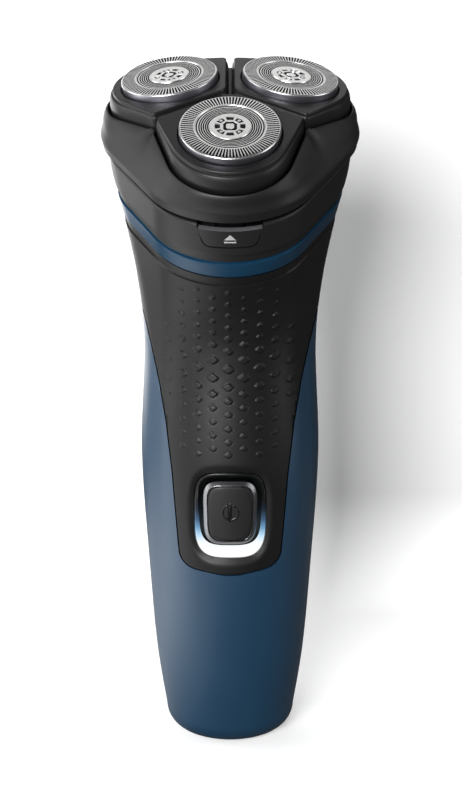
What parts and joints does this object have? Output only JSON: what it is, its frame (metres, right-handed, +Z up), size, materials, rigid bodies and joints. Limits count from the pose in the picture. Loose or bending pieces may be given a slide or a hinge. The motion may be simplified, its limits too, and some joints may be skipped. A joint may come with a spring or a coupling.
{
  "type": "electric shaver",
  "caption": "Rotary electric shaver with flexing round shaving heads on a hinged head unit, a motor and gear train, and a slim handle with a grip panel and power button.",
  "frame": {"origin": "on the flat face of the foot, on the handle's axis", "axes": "+Z up along the handle, -Y towards the front with the power button, +X to the right seen from the front"},
  "size_m": [0.061, 0.0577, 0.1678],
  "materials": {
    "black_plastic": "satin black moulded plastic",
    "grip_plastic": "matte black with pressed diamonds",
    "blue_plastic": "satin dark blue moulded plastic",
    "steel": "ground and slotted",
    "motor_can": "rolled can",
    "inner_plastic": "plain moulded",
    "gear_plastic": "natural acetal",
    "brass": "machined",
    "gloss_plastic": "polished black",
    "light_guide": "frosted translucent",
    "circuit_board": "green solder mask",
    "battery_sleeve": "printed shrink sleeve, plain",
    "seal_rubber": "soft matte",
    "black_lead": "insulated wire",
    "red_lead": "insulated wire"
  },
  "bodies": {
    "handle": {"rear_housing": "blue_plastic", "front_housing": "blue_plastic", "grip_panel": "grip_plastic", "button_surround": "gloss_plastic", "light_guide": "light_guide", "neck_band": "blue_plastic", "neck_seal": "seal_rubber", "collar": "black_plastic", "hinge_pin": "steel", "gear_plate": "inner_plastic", "motor": "motor_can", "neck_screw_1": "steel", "neck_screw_2": "steel", "neck_screw_3": "steel", "spindle_seal_front": "seal_rubber", "spindle_seal_right": "seal_rubber", "spindle_seal_left": "seal_rubber", "chassis": "inner_plastic", "circuit_board": "circuit_board", "control_chip": "inner_plastic", "power_switch": "inner_plastic", "status_led": "light_guide", "battery_cell": "battery_sleeve", "battery_tab_top": "steel", "battery_tab_bottom": "steel", "inlet_socket": "inner_plastic", "inlet_pin_left": "brass", "inlet_pin_right": "brass", "foot_screw_left": "steel", "foot_screw_right": "steel", "motor_lead_red": "red_lead", "motor_lead_black": "black_lead"},
    "shaving_head": {"head_frame": "black_plastic", "retaining_frame": "inner_plastic"},
    "lock_knob": {"retaining_lock": "blue_plastic"},
    "release": {"release_button": "black_plastic"},
    "power": {"power_button": "gloss_plastic"},
    "rotor": {"motor_shaft": "steel", "motor_pinion": "brass"},
    "pod_front": {"pod_front": "black_plastic", "cap_front": "steel"},
    "cutter_front": {"cutter_front": "steel"},
    "gear_front": {"drive_gear_front": "gear_plastic", "spindle_front": "steel"},
    "pod_right": {"pod_right": "black_plastic", "cap_right": "steel"},
    "cutter_right": {"cutter_right": "steel"},
    "gear_right": {"drive_gear_right": "gear_plastic", "spindle_right": "steel"},
    "pod_left": {"pod_left": "black_plastic", "cap_left": "steel"},
    "cutter_left": {"cutter_left": "steel"},
    "gear_left": {"drive_gear_left": "gear_plastic", "spindle_left": "steel"}
  },
  "joints": [
    {"name": "motor_spin", "type": "hinge", "parent": "handle", "child": "rotor", "pos_m": [0, 0.00199, 0.13951], "axis": [0, -0.4384, 0.8988], "continuous": true},
    {"name": "head_open", "type": "hinge", "parent": "handle", "child": "shaving_head", "pos_m": [0, 0.02275, 0.15764], "axis": [-1, 0, 0], "range_deg": [0, 80]},
    {"name": "lock_turn", "type": "hinge", "parent": "shaving_head", "child": "lock_knob", "pos_m": [0, -0.00173, 0.14715], "axis": [0, -0.4384, 0.8988], "range_deg": [0, 90]},
    {"name": "release_press", "type": "slide", "parent": "handle", "child": "release", "axis": [0, 0.8988, 0.4384], "range_m": [0, 0.001], "stiffness_N_per_m": 600, "springref_m": -0.0015},
    {"name": "power_press", "type": "slide", "parent": "handle", "child": "power", "axis": [0, 1, 0], "range_m": [0, 0.0006], "stiffness_N_per_m": 800, "springref_m": -0.001},
    {"name": "pod_front_flex", "type": "hinge", "parent": "shaving_head", "child": "pod_front", "pos_m": [0, -0.00785, 0.15284], "axis": [1, 0, 0], "range_deg": [0, 3.5], "stiffness_Nm_per_rad": 0.2, "springref_deg": -3.44},
    {"name": "cutter_front_spin", "type": "hinge", "parent": "pod_front", "child": "cutter_front", "pos_m": [0, -0.02265, 0.15285], "axis": [0, -0.5592, 0.829], "continuous": true},
    {"name": "gear_front_spin", "type": "hinge", "parent": "handle", "child": "gear_front", "pos_m": [0, -0.01178, 0.13279], "axis": [0, -0.4384, 0.8988], "continuous": true},
    {"name": "pod_right_flex", "type": "hinge", "parent": "shaving_head", "child": "pod_right", "pos_m": [0.0026, -0.0038, 0.15482], "axis": [-0.5, 0.7784, 0.3796], "range_deg": [0, 3.5], "stiffness_Nm_per_rad": 0.2, "springref_deg": -3.44},
    {"name": "cutter_right_spin", "type": "hinge", "parent": "pod_right", "child": "cutter_right", "pos_m": [0.01412, -0.00068, 0.16357], "axis": [0.1205, -0.3716, 0.9206], "continuous": true},
    {"name": "gear_right_spin", "type": "hinge", "parent": "handle", "child": "gear_right", "pos_m": [0.01328, 0.00888, 0.14287], "axis": [0, -0.4384, 0.8988], "continuous": true},
    {"name": "pod_left_flex", "type": "hinge", "parent": "shaving_head", "child": "pod_left", "pos_m": [-0.0026, -0.0038, 0.15482], "axis": [-0.5, -0.7784, -0.3796], "range_deg": [0, 3.5], "stiffness_Nm_per_rad": 0.2, "springref_deg": -3.44},
    {"name": "cutter_left_spin", "type": "hinge", "parent": "pod_left", "child": "cutter_left", "pos_m": [-0.01412, -0.00068, 0.16357], "axis": [-0.1205, -0.3716, 0.9206], "continuous": true},
    {"name": "gear_left_spin", "type": "hinge", "parent": "handle", "child": "gear_left", "pos_m": [-0.01328, 0.00888, 0.14287], "axis": [0, -0.4384, 0.8988], "continuous": true}
  ],
  "couplings": [
    {"joint": "gear_front_spin", "follows": "motor_spin", "ratio": -0.61538},
    {"joint": "cutter_front_spin", "follows": "motor_spin", "ratio": -0.61538},
    {"joint": "gear_right_spin", "follows": "motor_spin", "ratio": -0.61538},
    {"joint": "cutter_right_spin", "follows": "motor_spin", "ratio": -0.61538},
    {"joint": "gear_left_spin", "follows": "motor_spin", "ratio": -0.61538},
    {"joint": "cutter_left_spin", "follows": "motor_spin", "ratio": -0.61538}
  ]
}
